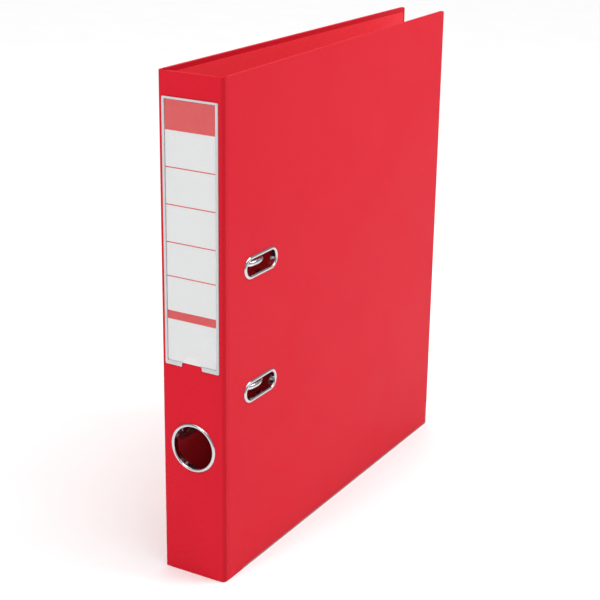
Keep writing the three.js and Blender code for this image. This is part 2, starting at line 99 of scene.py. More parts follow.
# Mechanism, measured from the back cover's outer corner.
ARCH_R = 14.1
WIRE_R = 2.0
CROWN_Y = WIDTH - 3.5
ARCH_X = SLOT_X * math.cos(LEAN) + CROWN_Y * math.sin(LEAN)
ARCH_LIFT = CROWN_Y * math.cos(LEAN) - SLOT_X * math.sin(LEAN) - ARCH_R
FOOT_LIFT = 11.9
LEG_X = ARCH_X - ARCH_R
POST_X = ARCH_X + ARCH_R
POST_TOP = ARCH_LIFT - 1.9
BASE_TOP = 4.1
BAR_LIFT = 7.0
BAR_T = 1.7
POSTS = (("lower", 119), ("upper", 199))
RIVETS = ((18, 90), (18, 228), (POST_X + 2, 90), (POST_X + 2, 228))
RIVET_HEAD_R = 4.2
RIVET_HEAD_RISE = 1.0
RIVET_SHANK_R = 1.6

# Where the painted shade on the fold film is darkest, just off the corner, and how far out it
# fades.
FOLD_SHADE_AT = 1.2
FOLD_SHADE_FULL = 0.8
FOLD_SHADE_FADED = 4.0

# Print on the label card, and the pocket's upper and lower welds.
CARD_HEADER = (284.1, 302.5)
CARD_BAR = (168.8, 174.2)
CARD_RULES = (262.2, 239.7, 216.8, 195.8)
CARD_RULE_HALF = 0.35
TOP_WELD = 1.2
FOOT_WELD = 2.6
WELD_TEETH = 0.0012

ROUND = 96

# Camera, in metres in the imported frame, with its turn about its own line of sight.
CAMERA_PLACE = (-0.84585, -0.47943, 0.48775)
CAMERA_TARGET = (-0.00904, 0.00373, 0.14233)
CAMERA_ROLL = 0.831
CAMERA_LENS = 91.73


def srgb(red, green, blue):
    """A screen colour, 0 to 255, as the linear colour that a material takes."""

    def linear(value):
        value /= 255
        return value / 12.92 if value <= 0.04045 else ((value + 0.055) / 1.055) ** 2.4

    return linear(red), linear(green), linear(blue)


# Settings a user would change.


def colour_property(name, description, value):
    return FloatVectorProperty(
        name=name, description=description, default=value, size=3, min=0, max=1, subtype="COLOR"
    )


def length_property(name, description, millimetres):
    return FloatProperty(
        name=name,
        description=description,
        default=millimetres * MM,
        min=0,
        unit="LENGTH",
        subtype="DISTANCE",
    )


class FileSizes(PropertyGroup):
    """Roundings and surface patterns."""

    board_rounding: length_property("Board rounding", "Turn of the film over a board's edge", 0.7)
    sheet_rounding: length_property("Sheet rounding", "Softening of a lining's edge", 0.1)
    metal_rounding: length_property("Metal rounding", "Softening of a pressed metal edge", 0.25)
    emboss_period: length_property("Emboss period", "From one embossed line to the next", 1.1)
    emboss_depth: length_property("Emboss depth", "Depth of the embossed lines", 0.05)
    weld_width: length_property("Weld width", "Width of the pocket's side welds", 1.6)


class FileColours(PropertyGroup):
    """Colours of the film, linings, card and metals."""

    film: colour_property("Film", "Embossed film on the boards", srgb(209, 29, 47))
    # Painted shade: a darker film colour for the emboss lines, also used for random patches of
    # tone.
    film_groove_shade: colour_property("Film, deep", "Film in the emboss lines, as painted shade", srgb(194, 24, 40))
    # Painted shade: a darker film colour laid in a band down the fold's corner.
    film_fold_shade: colour_property("Film, fold shade", "Film darkened along the fold's corner as painted shade", srgb(187, 24, 38))
    lining: colour_property("Lining", "Paper inside the covers", srgb(236, 40, 56))
    lining_fibre: colour_property("Lining fibre", "Fibres in the lining paper", srgb(246, 58, 72))
    card: colour_property("Card", "Label card", srgb(219, 219, 219))
    print_pale: colour_property("Pale print", "Header block on the card", srgb(208, 40, 42))
    print_red: colour_property("Red print", "Bar and rules on the card", srgb(206, 30, 34))
    pocket: colour_property("Pocket film", "Clear film of the pocket", srgb(214, 221, 223))
    nickel: colour_property("Nickel", "Plated rims, arches and lever", srgb(198, 198, 201))
    steel: colour_property("Steel", "Plated bars, strips and rivets", srgb(176, 177, 180))
    strip: colour_property("Strip", "Rolled strips on the lower edges", srgb(146, 147, 149))
    zinc: colour_property("Zinc", "Plated base plate", srgb(182, 185, 190))
    glide: colour_property("Glide", "Plastic glides of the compressor", srgb(34, 35, 38))


class StageSettings(PropertyGroup):
    """Floor and light."""

    floor: colour_property("Floor", "Floor under the file", srgb(252, 252, 252))
    sky: FloatProperty(
        name="Surroundings", description="Light from all round", default=0.38, min=0
    )
    sun: FloatProperty(name="Overhead", description="Soft light from above", default=1.95, min=0)
    key: FloatProperty(
        name="Key light",
        description="Soft light over the cover",
        default=5.5,
        min=0,
        unit="POWER",
    )
    fill: FloatProperty(
        name="Fill light",
        description="Soft light on the spine",
        default=5.8,
        min=0,
        unit="POWER",
    )


# Modelling, as by hand in edit mode.


def clear_selection():
    if bpy.context.object and bpy.context.object.mode != "OBJECT":
        bpy.ops.object.mode_set(mode="OBJECT")
    bpy.ops.object.select_all(action="DESELECT")


def take_up(piece):
    clear_selection()
    piece.select_set(True)
    bpy.context.view_layer.objects.active = piece


def named(piece, name):
    piece.name = name
    piece.data.name = name
    return piece


def drawn_line(name, points):
    """A line drawn from a small plane merged to one point; left in edit mode, all selected."""
    clear_selection()
    bpy.ops.mesh.primitive_plane_add(size=MM, location=points[0])
    piece = named(bpy.context.object, name)
    bpy.ops.object.transform_apply(location=True, rotation=True, scale=True)
    bpy.ops.object.mode_set(mode="EDIT")
    bpy.ops.mesh.select_mode(type="VERT")
    bpy.ops.mesh.select_all(action="SELECT")
    bpy.ops.mesh.merge(type="CENTER")
    for here, there in zip(points, points[1:]):
        bpy.ops.mesh.extrude_vertices_move(
            TRANSFORM_OT_translate={"value": Vector(there) - Vector(here)}
        )
    bpy.ops.mesh.select_all(action="SELECT")
    bpy.ops.mesh.remove_doubles(threshold=1e-6)
    bpy.ops.mesh.select_all(action="SELECT")
    return piece


def swing(angle, centre, axis, steps):
    """Spins the selection round an axis, right-handed, in degrees."""
    bpy.ops.mesh.spin(
        steps=steps, angle=-math.radians(angle), center=centre, axis=axis, use_auto_merge=False
    )


def draw_out(offset):
    bpy.ops.mesh.extrude_region_move(TRANSFORM_OT_translate={"value": offset})


def close_up():
    """Merges doubles, caps what is open, faces all outward and leaves edit mode."""
    bpy.ops.mesh.select_all(action="SELECT")
    bpy.ops.mesh.remove_doubles(threshold=1e-6)
    bpy.ops.mesh.select_mode(type="EDGE")
    bpy.ops.mesh.select_all(action="DESELECT")
    bpy.ops.mesh.select_non_manifold(extend=False)
    piece = bpy.context.object
    if any(edge.select for edge in bmesh.from_edit_mesh(piece.data).edges):
        bpy.ops.mesh.edge_face_add()
    bpy.ops.mesh.select_all(action="SELECT")
    bpy.ops.mesh.normals_make_consistent(inside=False)
    bpy.ops.object.mode_set(mode="OBJECT")


def turned(name, profile, centre, axis, steps=ROUND):
    """A piece spun from a profile of (radius, place along the axis), in millimetres."""
    axis = Vector(axis)
    outward = axis.orthogonal().normalized()
    centre = Vector(centre)
    points = [centre + (outward * radius + axis * place) * MM for radius, place in profile]
    piece = drawn_line(name, points)
    swing(360, centre, axis, steps)
    close_up()
    return piece


def slot_sweep(name, section, centre):
    """A closed section of (distance from the slot's line, y), swept round a slot in a cover."""
    right = Vector(centre) + Vector((SLOT_HALF * MM, 0, 0))
    left = Vector(centre) - Vector((SLOT_HALF * MM, 0, 0))
    points = [right + Vector((0, y, -out)) * MM for out, y in section + section[:1]]
    piece = drawn_line(name, points)
    swing(-180, right, (0, 1, 0), ROUND // 2)
    draw_out(left - right)
    swing(-180, left, (0, 1, 0), ROUND // 2)
    draw_out(right - left)
    close_up()
    return piece


def finish_with(piece, kind, label, **settings):
    """Adds a modifier and applies it."""
    take_up(piece)
    modifier = piece.modifiers.new(label, kind)
    for setting, value in settings.items():
        setattr(modifier, setting, value)
    bpy.ops.object.modifier_apply(modifier=modifier.name)


def soften(piece, width, segments=2, sharp=32, leave=None):
    """Rounds sharp edges, apart from those whose middle leave() picks, and keeps flats flat."""
    take_up(piece)
    if width:
        bpy.ops.object.mode_set(mode="EDIT")
        bpy.ops.mesh.select_mode(type="EDGE")
        bpy.ops.mesh.select_all(action="DESELECT")
        bpy.ops.mesh.edges_select_sharp(sharpness=math.radians(sharp))
        if leave:
            sheet = bmesh.from_edit_mesh(piece.data)
            for edge in sheet.edges:
                if edge.select and leave((edge.verts[0].co + edge.verts[1].co) / 2):
                    edge.select_set(False)
            bmesh.update_edit_mesh(piece.data)
        bpy.ops.mesh.bevel(
            offset=width,
            segments=segments,
            affect="EDGES",
            clamp_overlap=True,
            miter_outer="ARC",
        )
        bpy.ops.object.mode_set(mode="OBJECT")
    bpy.ops.object.shade_smooth_by_angle(angle=math.radians(sharp + 8))
    finish_with(piece, "WEIGHTED_NORMAL", "Flat faces", weight=60, keep_sharp=True)


def reworked(node, name, width, segments=2, sharp=32, leave=None):
    """A copy of a CAD node with its triangles merged to clean faces and its edges rounded."""
    clear_selection()
    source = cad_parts[node]
    piece = bpy.data.objects.new(name, source.data.copy())
    piece.data.name = name
    bpy.context.scene.collection.objects.link(piece)
    piece.data.materials.clear()
    take_up(piece)
    bpy.ops.object.mode_set(mode="EDIT")
    bpy.ops.mesh.select_all(action="SELECT")
    bpy.ops.mesh.remove_doubles(threshold=1e-6)
    bpy.ops.mesh.dissolve_limited(angle_limit=math.radians(0.6))
    bpy.ops.object.mode_set(mode="OBJECT")
    if piece.data.has_custom_normals:
        bpy.ops.mesh.customdata_custom_splitnormals_clear()
    soften(piece, width, segments, sharp, leave)
    return piece


def lean_back(piece):
    """Places a piece that was drawn with the back cover straight."""
    take_up(piece)
    piece.location = BACK_CORNER
    piece.rotation_euler = (0, 0, -LEAN)
    bpy.ops.object.transform_apply(location=True, rotation=True, scale=True)
    return piece


def fit_out(piece, look, body, slot, *nodes):
    """Gives a piece its material and its body, and hides the nodes it stands for; the slot is not
    used.
    """
    piece.data.materials.clear()
    piece.data.materials.append(look)
    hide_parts(*nodes)
    if body:
        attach(piece, body)
    return piece


def dome(radius, floor, rise, steps=7):
    """Profile points of a low dome, from its rim to its crown."""
    turns = [math.pi / 2 * i / steps for i in range(steps + 1)]
    return [(radius * math.cos(turn), floor + rise * math.sin(turn)) for turn in turns]


# Shader building.


def wire(tree, kind, inputs=None, **settings):
    """A node with its settings, and its inputs set to values or linked to sockets."""
    made = tree.nodes.new(kind)
    for name, value in settings.items():
        setattr(made, name, value)
    for socket, value in (inputs or {}).items():
        if isinstance(value, bpy.types.NodeSocket):
            tree.links.new(value, made.inputs[socket])
        else:
            made.inputs[socket].default_value = value
    return made


def calc(tree, operation, *values, clamp=False):
    made = wire(
        tree, "ShaderNodeMath", dict(enumerate(values)), operation=operation, use_clamp=clamp
    )
    return made.outputs[0]


def blend_colours(tree, mask, first, second):
    made = wire(tree, "ShaderNodeMix", data_type="RGBA")
    for socket, value in ((0, mask), (6, first), (7, second)):
        if isinstance(value, bpy.types.NodeSocket):
            tree.links.new(value, made.inputs[socket])
        elif socket:
            made.inputs[socket].default_value = (*value[:3], 1)
        else:
            made.inputs[socket].default_value = value
    return made.outputs[2]


def remap(tree, value, low, high, new_low, new_high):
    made = wire(
        tree, "ShaderNodeMapRange", {0: value, 1: low, 2: high, 3: new_low, 4: new_high}
    )
    return made.outputs[0]


def effect(name, inputs, outputs):
    """An empty shader node group with float or vector inputs and float outputs."""
    tree = bpy.data.node_groups.new(name, "ShaderNodeTree")
    for label, kind, value in inputs:
        socket = tree.interface.new_socket(
            name=label, in_out="INPUT", socket_type="NodeSocket" + kind
        )
        if value is not None:
            socket.default_value = value
    for label in outputs:
        tree.interface.new_socket(name=label, in_out="OUTPUT", socket_type="NodeSocketFloat")
    return tree, tree.nodes.new("NodeGroupInput"), tree.nodes.new("NodeGroupOutput")


def emboss_group():
    """Fine diagonal lines pressed into a film, the same way round every corner."""
    found = bpy.data.node_groups.get("Diagonal emboss")
    if found:
        return found
    tree, given, result = effect(
        "Diagonal emboss", [("Vector", "Vector", None), ("Period", "Float", 0.0011)], ["Height"]
    )
    parts = wire(tree, "ShaderNodeSeparateXYZ", {0: given.outputs["Vector"]})
    across = calc(tree, "ADD", parts.outputs[0], parts.outputs[1])
    along = calc(tree, "ADD", parts.outputs[2], across)
    drift = wire(
        tree,
        "ShaderNodeTexNoise",
        {"Vector": given.outputs["Vector"], "Scale": 55.0, "Detail": 1.0},
    )
    wander = calc(tree, "MULTIPLY", drift.outputs[0], 0.0006)
    turns = calc(tree, "DIVIDE", calc(tree, "ADD", along, wander), given.outputs["Period"])
    wave = calc(tree, "SINE", calc(tree, "MULTIPLY", turns, 2 * math.pi / math.sqrt(2)))
    height = remap(tree, wave, -1, 1, 0, 1)
    tree.links.new(height, result.inputs["Height"])
    return tree


def grain_group():
    """Fine all-over grain."""
    found = bpy.data.node_groups.get("Fine grain")
    if found:
        return found
    tree, given, result = effect(
        "Fine grain",
        [("Vector", "Vector", None), ("Scale", "Float", 900.0), ("Detail", "Float", 4.0)],
        ["Height", "Patches"],
    )
    fine = wire(
        tree,
        "ShaderNodeTexNoise",
        {
            "Vector": given.outputs["Vector"],
            "Scale": given.outputs["Scale"],
            "Detail": given.outputs["Detail"],
            "Roughness": 0.6,
        },
    )
    broad = wire(
        tree,
        "ShaderNodeTexNoise",
        {"Vector": given.outputs["Vector"], "Scale": 14.0, "Detail": 3.0, "Roughness": 0.5},
    )
    tree.links.new(fine.outputs[0], result.inputs["Height"])
    tree.links.new(remap(tree, broad.outputs[0], 0.35, 0.65, 0, 1), result.inputs["Patches"])
    return tree


def handling_group():
    """Faint smudges and hairline scratches from handling."""
    found = bpy.data.node_groups.get("Handling marks")
    if found:
        return found
    tree, given, result = effect(
        "Handling marks",
        [("Vector", "Vector", None), ("Scale", "Float", 1.0)],
        ["Smudges", "Scratches"],
    )
    scaled = wire(
        tree,
        "ShaderNodeVectorMath",
        {0: given.outputs["Vector"], "Scale": given.outputs["Scale"]},
        operation="SCALE",
    ).outputs[0]
    smudges = wire(
        tree,
        "ShaderNodeTexNoise",
        {"Vector": scaled, "Scale": 26.0, "Detail": 5.0, "Distortion": 0.8},
    )
    marks = []
    for turn, length in ((0.5, 1.0), (2.2, 1.6)):
        laid = wire(
            tree,
            "ShaderNodeMapping",
            {
                "Vector": scaled,
                "Rotation": (turn, turn * 0.7, turn),
                "Scale": (1, 14 * length, 14),
            },
        )
        lines = wire(
            tree,
            "ShaderNodeTexNoise",
            {"Vector": laid.outputs[0], "Scale": 60.0, "Detail": 2.0, "Roughness": 0.4},
        )
        marks.append(remap(tree, lines.outputs[0], 0.66, 0.72, 0, 1))
    tree.links.new(remap(tree, smudges.outputs[0], 0.42, 0.68, 0, 1), result.inputs["Smudges"])
    tree.links.new(calc(tree, "MAXIMUM", *marks), result.inputs["Scratches"])
    return tree


def brushed_group():
    """Fine drawn lines along the metal, with a slow change in polish."""
    found = bpy.data.node_groups.get("Drawn metal")
    if found:
        return found
    tree, given, result = effect(
        "Drawn metal",
        [("Vector", "Vector", None), ("Along", "Vector", (1, 1, 0.04))],
        ["Height", "Polish"],
    )
    stretched = wire(
        tree,
        "ShaderNodeVectorMath",
        {0: given.outputs["Vector"], 1: given.outputs["Along"]},
        operation="MULTIPLY",
    ).outputs[0]
    lines = wire(
        tree,
        "ShaderNodeTexNoise",
        {"Vector": stretched, "Scale": 2600.0, "Detail": 3.0, "Roughness": 0.55},
    )
    polish = wire(
        tree,
        "ShaderNodeTexNoise",
        {"Vector": given.outputs["Vector"], "Scale": 120.0, "Detail": 4.0},
    )
    tree.links.new(lines.outputs[0], result.inputs["Height"])
    tree.links.new(remap(tree, polish.outputs[0], 0.3, 0.7, 0, 1), result.inputs["Polish"])
    return tree


def band_group():
    """A printed band between two heights, with slightly soft edges."""
    found = bpy.data.node_groups.get("Printed band")
    if found:
        return found
    tree, given, result = effect(
        "Printed band",
        [("Place", "Float", 0.0), ("Middle", "Float", 0.0), ("Half", "Float", 0.001)],
        ["Mask"],
    )
    off = calc(
        tree,
        "ABSOLUTE",
        calc(tree, "SUBTRACT", given.outputs["Place"], given.outputs["Middle"]),
    )
    inside = calc(tree, "SUBTRACT", given.outputs["Half"], off)
    mask = calc(tree, "MULTIPLY_ADD", inside, 1 / 0.00012, 0.5, clamp=True)
    tree.links.new(mask, result.inputs["Mask"])
    return tree


def use_group(tree, group, inputs):
    """Places a shader group with its values and links, and returns what it puts out."""
    made = wire(tree, "ShaderNodeGroup", node_tree=group)
    for socket, value in inputs.items():
        if isinstance(value, bpy.types.NodeSocket):
            tree.links.new(value, made.inputs[socket])
        else:
            made.inputs[socket].default_value = value
    return made.outputs


def new_material(name):
    """A material with its tree, its surface shader and the piece's own coordinates."""
    material = bpy.data.materials.new(name)
    material.use_nodes = True
    tree = material.node_tree
    surface = tree.nodes["Principled BSDF"]
    place = tree.nodes.new("ShaderNodeTexCoord").outputs["Object"]
    return material, tree, surface, place


def feed(tree, surface, **sockets):
    """Links or sets the surface shader's sockets, an underscore for each space."""
    for name, value in sockets.items():
        socket = surface.inputs[name.replace("_", " ")]
        if isinstance(value, bpy.types.NodeSocket):
            tree.links.new(value, socket)
        else:
            socket.default_value = value


def relief(tree, height, distance, strength=1.0, under=None):
    """A bump of a height, over another one if there is one."""
    inputs = {"Height": height, "Distance": distance, "Strength": strength}
    if under is not None:
        inputs["Normal"] = under
    return wire(tree, "ShaderNodeBump", inputs).outputs[0]


def film_surface(context, name, folded):
    """Red plastic film, semi-matt, embossed with fine diagonal lines, with painted shade in the
    emboss lines and, over a fold, a band of painted shade down the fold's corner."""
    found = bpy.data.materials.get(name)
    if found:
        return found
    colours, sizes = context.scene.file_colours, context.scene.file_sizes
    material, tree, surface, place = new_material(name)
    emboss = use_group(
        tree, emboss_group(), {"Vector": place, "Period": sizes.emboss_period}
    )["Height"]
    grain = use_group(tree, grain_group(), {"Vector": place, "Scale": 1400.0})
    marks = use_group(tree, handling_group(), {"Vector": place})
    # Painted shade: the film is darkened in the emboss lines, where shade falls; the patches add
    # random tone.
    patches = calc(tree, "MULTIPLY", grain["Patches"], 0.14)
    groove_shade_and_patches = calc(tree, "MULTIPLY_ADD", emboss, -0.34, calc(tree, "ADD", patches, 0.34), clamp=True)
    colour = blend_colours(tree, groove_shade_and_patches, colours.film, colours.film_groove_shade)
    if folded:
        # Painted shade: the fold film is darkened in a band down the fold's corner, where shade
        # falls in the crease.
        parts = wire(tree, "ShaderNodeSeparateXYZ", {0: place})
        half = WIDTH / 2 * MM
        off = calc(tree, "ABSOLUTE", calc(tree, "SUBTRACT", parts.outputs[1], CORNER.y + half))
        beside = calc(tree, "SUBTRACT", half, off)
        across = calc(
            tree, "SUBTRACT", calc(tree, "SUBTRACT", parts.outputs[0], CORNER.x), beside
        )
        from_fold_shade = calc(tree, "ABSOLUTE", calc(tree, "SUBTRACT", across, FOLD_SHADE_AT * MM))
        fold_shade = wire(
            tree,
            "ShaderNodeMapRange",
            {0: from_fold_shade, 1: FOLD_SHADE_FULL * MM, 2: FOLD_SHADE_FADED * MM, 3: 1.0, 4: 0.0},
            interpolation_type="SMOOTHSTEP",
        ).outputs[0]
        colour = blend_colours(tree, fold_shade, colour, colours.film_fold_shade)
    rough = calc(tree, "MULTIPLY_ADD", marks["Smudges"], 0.05, 0.42)
    rough = calc(tree, "MULTIPLY_ADD", marks["Scratches"], 0.04, rough)
    low = relief(tree, emboss, sizes.emboss_depth)
    feed(
        tree,
        surface,
        Base_Color=colour,
        Roughness=rough,
        Normal=relief(tree, grain["Height"], 0.00002, 0.6, under=low),
    )
    surface.inputs["Specular IOR Level"].default_value = 0.05
    return material


def film_look(context):
    return film_surface(context, "Embossed red film", folded=False)


def fold_look(context):
    return film_surface(context, "Embossed red film, painted fold shade", folded=True)


def lining_look(context):
    """Coloured lining paper, matt, with short fibres."""
    found = bpy.data.materials.get("Red lining paper")
    if found:
        return found
    colours = context.scene.file_colours
    material, tree, surface, place = new_material("Red lining paper")
    grain = use_group(tree, grain_group(), {"Vector": place, "Scale": 700.0, "Detail": 6.0})
    fibres = calc(tree, "MULTIPLY_ADD", grain["Height"], 1.6, -0.5, clamp=True)
    colour = blend_colours(tree, fibres, colours.lining, colours.lining_fibre)
    feed(
        tree,
        surface,
        Base_Color=colour,
        Roughness=calc(tree, "MULTIPLY_ADD", grain["Patches"], 0.1, 0.68),
        Normal=relief(tree, grain["Height"], 0.00006, 0.8),
    )
    surface.inputs["Specular IOR Level"].default_value = 0.3
    return material


def metal_look(name, colour, roughness, along, scratch=0.12):
    """A plated metal with drawn lines and hairline scratches."""
    found = bpy.data.materials.get(name)
    if found:
        return found
    material, tree, surface, place = new_material(name)
    drawn = use_group(tree, brushed_group(), {"Vector": place, "Along": along})
    marks = use_group(tree, handling_group(), {"Vector": place, "Scale": 4.0})
    dull = calc(tree, "MULTIPLY", marks["Smudges"], 0.22)
    shade = tuple(channel * 0.82 for channel in colour)
    rough = calc(tree, "MULTIPLY_ADD", drawn["Polish"], roughness * 0.5, roughness * 0.75)
    rough = calc(tree, "MULTIPLY_ADD", marks["Scratches"], scratch, rough)
    feed(
        tree,
        surface,
        Base_Color=blend_colours(tree, dull, colour, shade),
        Metallic=1.0,
        Roughness=rough,
        Normal=relief(tree, drawn["Height"], 0.000006, 0.6),
    )
    return material


def nickel_look(context):
    return metal_look("Polished nickel", context.scene.file_colours.nickel, 0.14, (1, 1, 1))


def steel_look(context):
    return metal_look(
        "Plated steel", context.scene.file_colours.steel, 0.28, (1, 1, 0.04), scratch=0.18
    )


def strip_look(context):
    return metal_look(
        "Rolled steel strip", context.scene.file_colours.strip, 0.42, (0.04, 1, 1), scratch=0.2
    )


def zinc_look(context):
    return metal_look(
        "Zinc plate", context.scene.file_colours.zinc, 0.36, (1, 1, 0.05), scratch=0.2
    )


def glide_look(context):
    """Moulded dark plastic with a fine spark finish."""
    found = bpy.data.materials.get("Moulded glide plastic")
    if found:
        return found
    colour = context.scene.file_colours.glide
    material, tree, surface, place = new_material("Moulded glide plastic")
    grain = use_group(tree, grain_group(), {"Vector": place, "Scale": 2400.0})
    lifted = tuple(channel * 1.7 + 0.004 for channel in colour)
    feed(
        tree,
        surface,
        Base_Color=blend_colours(tree, grain["Patches"], colour, lifted),
        Roughness=calc(tree, "MULTIPLY_ADD", grain["Height"], 0.2, 0.36),
        Normal=relief(tree, grain["Height"], 0.00003, 0.6),
    )
    return material


def card_look(context):
    """Label card with a printed header, a bar and thin rules across it."""
    found = bpy.data.materials.get("Printed label card")
    if found:
        return found
    colours = context.scene.file_colours
    material, tree, surface, place = new_material("Printed label card")
    parts = wire(tree, "ShaderNodeSeparateXYZ", {0: place})
    height = parts.outputs[2]

    def band(bottom, top):
        return use_group(
            tree,
            band_group(),
            {"Place": height, "Middle": (bottom + top) / 2 * MM, "Half": (top - bottom) / 2 * MM},
        )["Mask"]

    grain = use_group(tree, grain_group(), {"Vector": place, "Scale": 1100.0, "Detail": 5.0})
    paper = tuple(channel * 0.93 for channel in colours.card)
    colour = blend_colours(
        tree, calc(tree, "MULTIPLY", grain["Height"], 0.6), colours.card, paper
    )
    header = band(*CARD_HEADER)
    colour = blend_colours(tree, header, colour, colours.print_pale)
    rules = band(*CARD_BAR)
    for rule in CARD_RULES:
        line = band(rule - CARD_RULE_HALF, rule + CARD_RULE_HALF)
        rules = calc(tree, "MAXIMUM", rules, line)
    colour = blend_colours(tree, rules, colour, colours.print_red)
    feed(
        tree,
        surface,
        Base_Color=colour,
        Roughness=calc(tree, "MULTIPLY_ADD", grain["Patches"], 0.08, 0.6),
        Normal=relief(tree, grain["Height"], 0.00002, 0.3),
    )
    return material


def pocket_look(context):
    """Clear pocket film, frosted along its welds by the welding bar's fine teeth."""
    found = bpy.data.materials.get("Clear pocket film")
    if found:
        return found
    colours, sizes = context.scene.file_colours, context.scene.file_sizes
    material, tree, surface, place = new_material("Clear pocket film")
    parts = wire(tree, "ShaderNodeSeparateXYZ", {0: place})
    low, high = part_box("label_pocket")
    across, height = parts.outputs[1], parts.outputs[2]
    middle = (low[1] + high[1]) / 2
    off = calc(tree, "ABSOLUTE", calc(tree, "SUBTRACT", across, middle))
    side = calc(tree, "GREATER_THAN", off, (high[1] - low[1]) / 2 - sizes.weld_width)
    top = calc(tree, "GREATER_THAN", height, high[2] - TOP_WELD * MM)
    foot = calc(tree, "LESS_THAN", height, low[2] + FOOT_WELD * MM)
    weld = calc(tree, "MAXIMUM", side, calc(tree, "MAXIMUM", top, foot))
    teeth = calc(tree, "SINE", calc(tree, "MULTIPLY", height, 2 * math.pi / WELD_TEETH))
    teeth = calc(tree, "MULTIPLY", remap(tree, teeth, -1, 1, 0, 1), weld)
    grain = use_group(tree, grain_group(), {"Vector": place, "Scale": 600.0})
    frost = tuple(channel * 0.86 for channel in colours.pocket)
    rough = calc(tree, "MULTIPLY_ADD", weld, 0.25, 0.2)
    feed(
        tree,
        surface,
        Base_Color=blend_colours(
            tree, calc(tree, "MULTIPLY", grain["Patches"], 0.5), colours.pocket, frost
        ),
        Roughness=rough,
        Alpha=calc(tree, "MULTIPLY_ADD", weld, 0.69, 0.05),
        Normal=relief(tree, teeth, 0.00008),
    )
    return material


def floor_look(context):
    """Plain pale studio paper."""
    material, tree, surface, place = new_material("Pale studio paper")
    grain = use_group(tree, grain_group(), {"Vector": place, "Scale": 40.0})
    floor = context.scene.file_stage.floor
    shade = tuple(channel * 0.985 for channel in floor)
    feed(tree, surface, Base_Color=blend_colours(tree, grain["Patches"], floor, shade))
    surface.inputs["Roughness"].default_value = 0.9
    surface.inputs["Specular IOR Level"].default_value = 0.1
    return material


# Operators, one for each piece or group of like pieces.


class LEVERFILE_OT_covers(Operator):
    """Boards of the two covers and the spine, wrapped in film"""

    bl_idname = "lever_file.covers"
    bl_label = "Cover and spine boards"

    def execute(self, context):
        rounding = context.scene.file_sizes.board_rounding
        edge = (BOARD_EDGE + 0.1) * MM
        back_run = Vector((math.cos(LEAN), -math.sin(LEAN), 0))
        middle = CORNER.y + WIDTH / 2 * MM
        for node, name, body, beside_fold in (
            (
                "front_cover_board",
                "front_board_in_film",
                "front_cover",
                lambda at: at.x - CORNER.x < edge,
            ),
            (
                "back_cover_board",
                "back_board_in_film",
                "back_cover",
                lambda at: (at - BACK_CORNER).dot(back_run) < edge,
            ),
            (
                "spine_board",
                "spine_board_in_film",
                "spine",
                lambda at: abs(at.y - middle) > (WIDTH / 2 - BOARD_EDGE - 0.4) * MM,
            ),
        ):
            piece = reworked(node, name, rounding, segments=3, leave=beside_fold)
            fit_out(piece, film_look(context), body, "film_red", node)
        return {"FINISHED"}


class LEVERFILE_OT_linings(Operator):
    """Paper linings glued inside the covers and the spine"""

    bl_idname = "lever_file.linings"
    bl_label = "Paper linings"

    def execute(self, context):
        rounding = context.scene.file_sizes.sheet_rounding
        for node, name, body in (
            ("front_cover_lining", "front_lining_paper", "front_cover"),
            ("back_cover_lining", "back_lining_paper", "back_cover"),
            ("spine_lining", "spine_lining_paper", "spine"),
        ):
            piece = reworked(node, name, rounding, segments=2)
            fit_out(piece, lining_look(context), body, "lining_red", node)
        return {"FINISHED"}


def fold_line():
    """The fold film's outer face, from the spine board's edge round the corner to the cover's:
    pressed in a little beside each board and rounded over the corner."""
    edge, corner, dip = BOARD_EDGE, 2.6, 0.1
    side = []
    for i in range(8):
        along = i / 8
        side.append((dip * math.sin(math.pi * along) ** 2, edge - (edge - corner) * along))
    bend = []
    for i in range(13):
        turn = math.radians(180 + 90 * i / 12)
        bend.append((corner + corner * math.cos(turn), corner + corner * math.sin(turn)))
    return side + bend + [(y, x) for x, y in reversed(side)]


def back_fold_line():
    """The same line at the back, which eases into the back cover's lean."""
    line = []
    for x, y in fold_line():
        share = min(max((x - y) / BOARD_EDGE + 0.5, 0), 1)
        leant = (
            x * math.cos(LEAN) - y * math.sin(LEAN),
            -x * math.sin(LEAN) - y * math.cos(LEAN),
        )
        line.append(
            (x + (leant[0] - x) * share, WIDTH - y + (leant[1] + y) * share)
        )
    return line


def fold_strip(name, line, inward):
    """A strip of film standing up along a line, with its upper and lower edges turned over."""
    drawn_line(name, [CORNER + Vector((x, y, 0)) * MM for x, y in line])
    piece = bpy.context.object
    draw_out(Vector((0, 0, HEIGHT * MM)))
    bpy.ops.object.mode_set(mode="OBJECT")
    finish_with(piece, "SOLIDIFY", "Film", thickness=FILM_T * MM, offset=inward)
    take_up(piece)
    bpy.ops.object.mode_set(mode="EDIT")
    bpy.ops.mesh.select_all(action="SELECT")
    bpy.ops.mesh.normals_make_consistent(inside=False)
    bpy.ops.object.mode_set(mode="OBJECT")
    soften(
        piece, 0.35 * MM, segments=3, sharp=50, leave=lambda at: 1 * MM < at.z < (HEIGHT - 1) * MM
    )
    return piece


class LEVERFILE_OT_folds(Operator):
    """Film folds between the spine and the covers"""

    bl_idname = "lever_file.folds"
    bl_label = "Film folds"

    def execute(self, context):
        edge = BOARD_EDGE
        for name, line, bodies, ends, inward, node in (
            (
                "front_fold_film",
                fold_line(),
                ("spine", "front_cover"),
                ((0, edge), (edge, 0)),
                -1,
                "front_fold",
            ),
            (
                "back_fold_film",
                back_fold_line(),
                ("spine", "back_cover"),
                ((0, WIDTH - edge), (edge, WIDTH)),
                1,
                "back_fold",
            ),
        ):
            piece = fold_strip(name, line, inward)
            fit_out(piece, fold_look(context), None, "film_red", node)
            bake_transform(piece)
        return {"FINISHED"}


